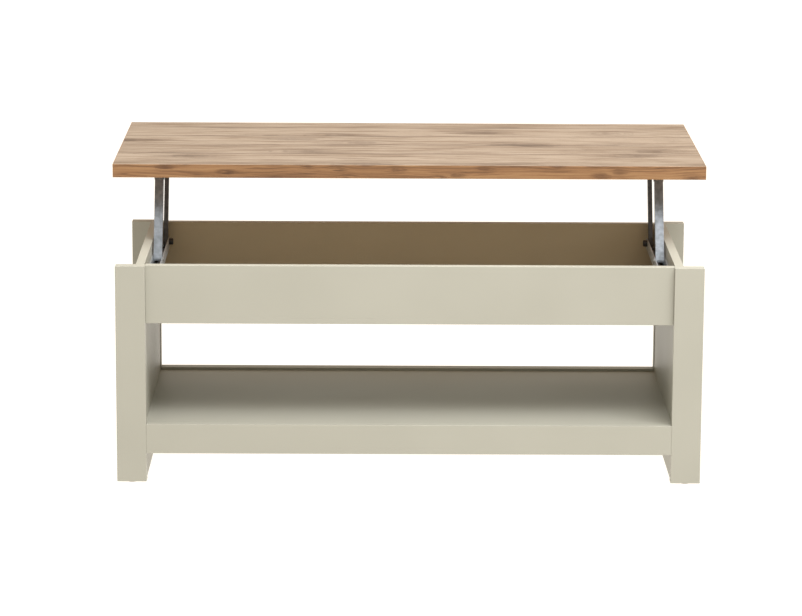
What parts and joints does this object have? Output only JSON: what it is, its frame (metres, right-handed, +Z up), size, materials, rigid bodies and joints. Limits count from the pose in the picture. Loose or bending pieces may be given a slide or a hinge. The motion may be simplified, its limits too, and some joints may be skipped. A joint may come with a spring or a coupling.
{
  "type": "lift top coffee table",
  "caption": "Rectangular coffee table whose thick top swings up and over on folding arms above a storage tray, with an open shelf below between panelled ends.",
  "frame": {"origin": "on the floor, at the centre of the base (legs and end panels), whatever the top does", "axes": "+X along the length, +Y from the front face to the back, the way the top moves as it rises, +Z up"},
  "size_m": [1.108, 0.7104, 0.5575],
  "materials": {
    "cream_painted_board": "satin painted foil over fibreboard",
    "oak_decor_board": "matt oak-grain decor over particle board",
    "oak_edge_band": "matt oak-grain edging",
    "zinc_plated_steel": "pressed, zinc plated, dull",
    "rivet_steel": "turned, zinc plated",
    "spring_steel": "oiled spring wire",
    "black_nylon": "moulded",
    "screw_steel": "zinc plated",
    "beech_dowel": "fluted beech",
    "zinc_alloy": "die cast",
    "grey_plastic": "moulded",
    "clear_rubber": "soft moulded pad"
  },
  "bodies": {
    "base": {"back_left_leg": "cream_painted_board", "back_right_leg": "cream_painted_board", "bracket_screws": "screw_steel", "cam_bolts": "screw_steel", "cam_locks": "zinc_alloy", "far_pivot_rivets": "rivet_steel", "foot_glides": "grey_plastic", "front_left_leg": "cream_painted_board", "front_right_leg": "cream_painted_board", "left_base_bracket": "zinc_plated_steel", "left_end_panel": "cream_painted_board", "left_lift_spring": "spring_steel", "lower_back_rail": "cream_painted_board", "lower_front_rail": "cream_painted_board", "near_pivot_rivets": "rivet_steel", "panel_dowels": "beech_dowel", "pivot_caps": "black_nylon", "rail_dowels": "beech_dowel", "right_base_bracket": "zinc_plated_steel", "right_end_panel": "cream_painted_board", "right_lift_spring": "spring_steel", "shelf": "cream_painted_board", "shelf_dowels": "beech_dowel", "spring_hook_pins": "rivet_steel", "tray_bottom": "cream_painted_board", "upper_back_rail": "cream_painted_board", "upper_front_rail": "cream_painted_board"},
    "near_arms": {"left_near_arm": "zinc_plated_steel", "right_near_arm": "zinc_plated_steel"},
    "far_arms": {"left_far_arm": "zinc_plated_steel", "right_far_arm": "zinc_plated_steel", "spring_lever_pins": "rivet_steel"},
    "top": {"top_board": "oak_decor_board", "edge_bands": "oak_edge_band", "left_top_bracket": "zinc_plated_steel", "right_top_bracket": "zinc_plated_steel", "near_top_rivets": "rivet_steel", "far_top_rivets": "rivet_steel", "top_screws": "screw_steel", "lid_bumpers": "clear_rubber"}
  },
  "joints": [
    {"name": "lift", "type": "hinge", "parent": "base", "child": "near_arms", "pos_m": [0, 0.006, 0.3715], "axis": [1, 0, 0], "range_deg": [0, 108]},
    {"name": "top_level", "type": "hinge", "parent": "near_arms", "child": "top", "pos_m": [0, 0.07362, 0.51651], "axis": [1, 0, 0], "range_deg": [-108, 0]},
    {"name": "far_arm_swing", "type": "hinge", "parent": "base", "child": "far_arms", "pos_m": [0, 0.18, 0.3715], "axis": [1, 0, 0], "range_deg": [0, 108], "deforming": ["left_lift_spring", "right_lift_spring"]}
  ],
  "couplings": [
    {"joint": "top_level", "follows": "lift", "ratio": -1},
    {"joint": "far_arm_swing", "follows": "lift", "ratio": 1}
  ]
}
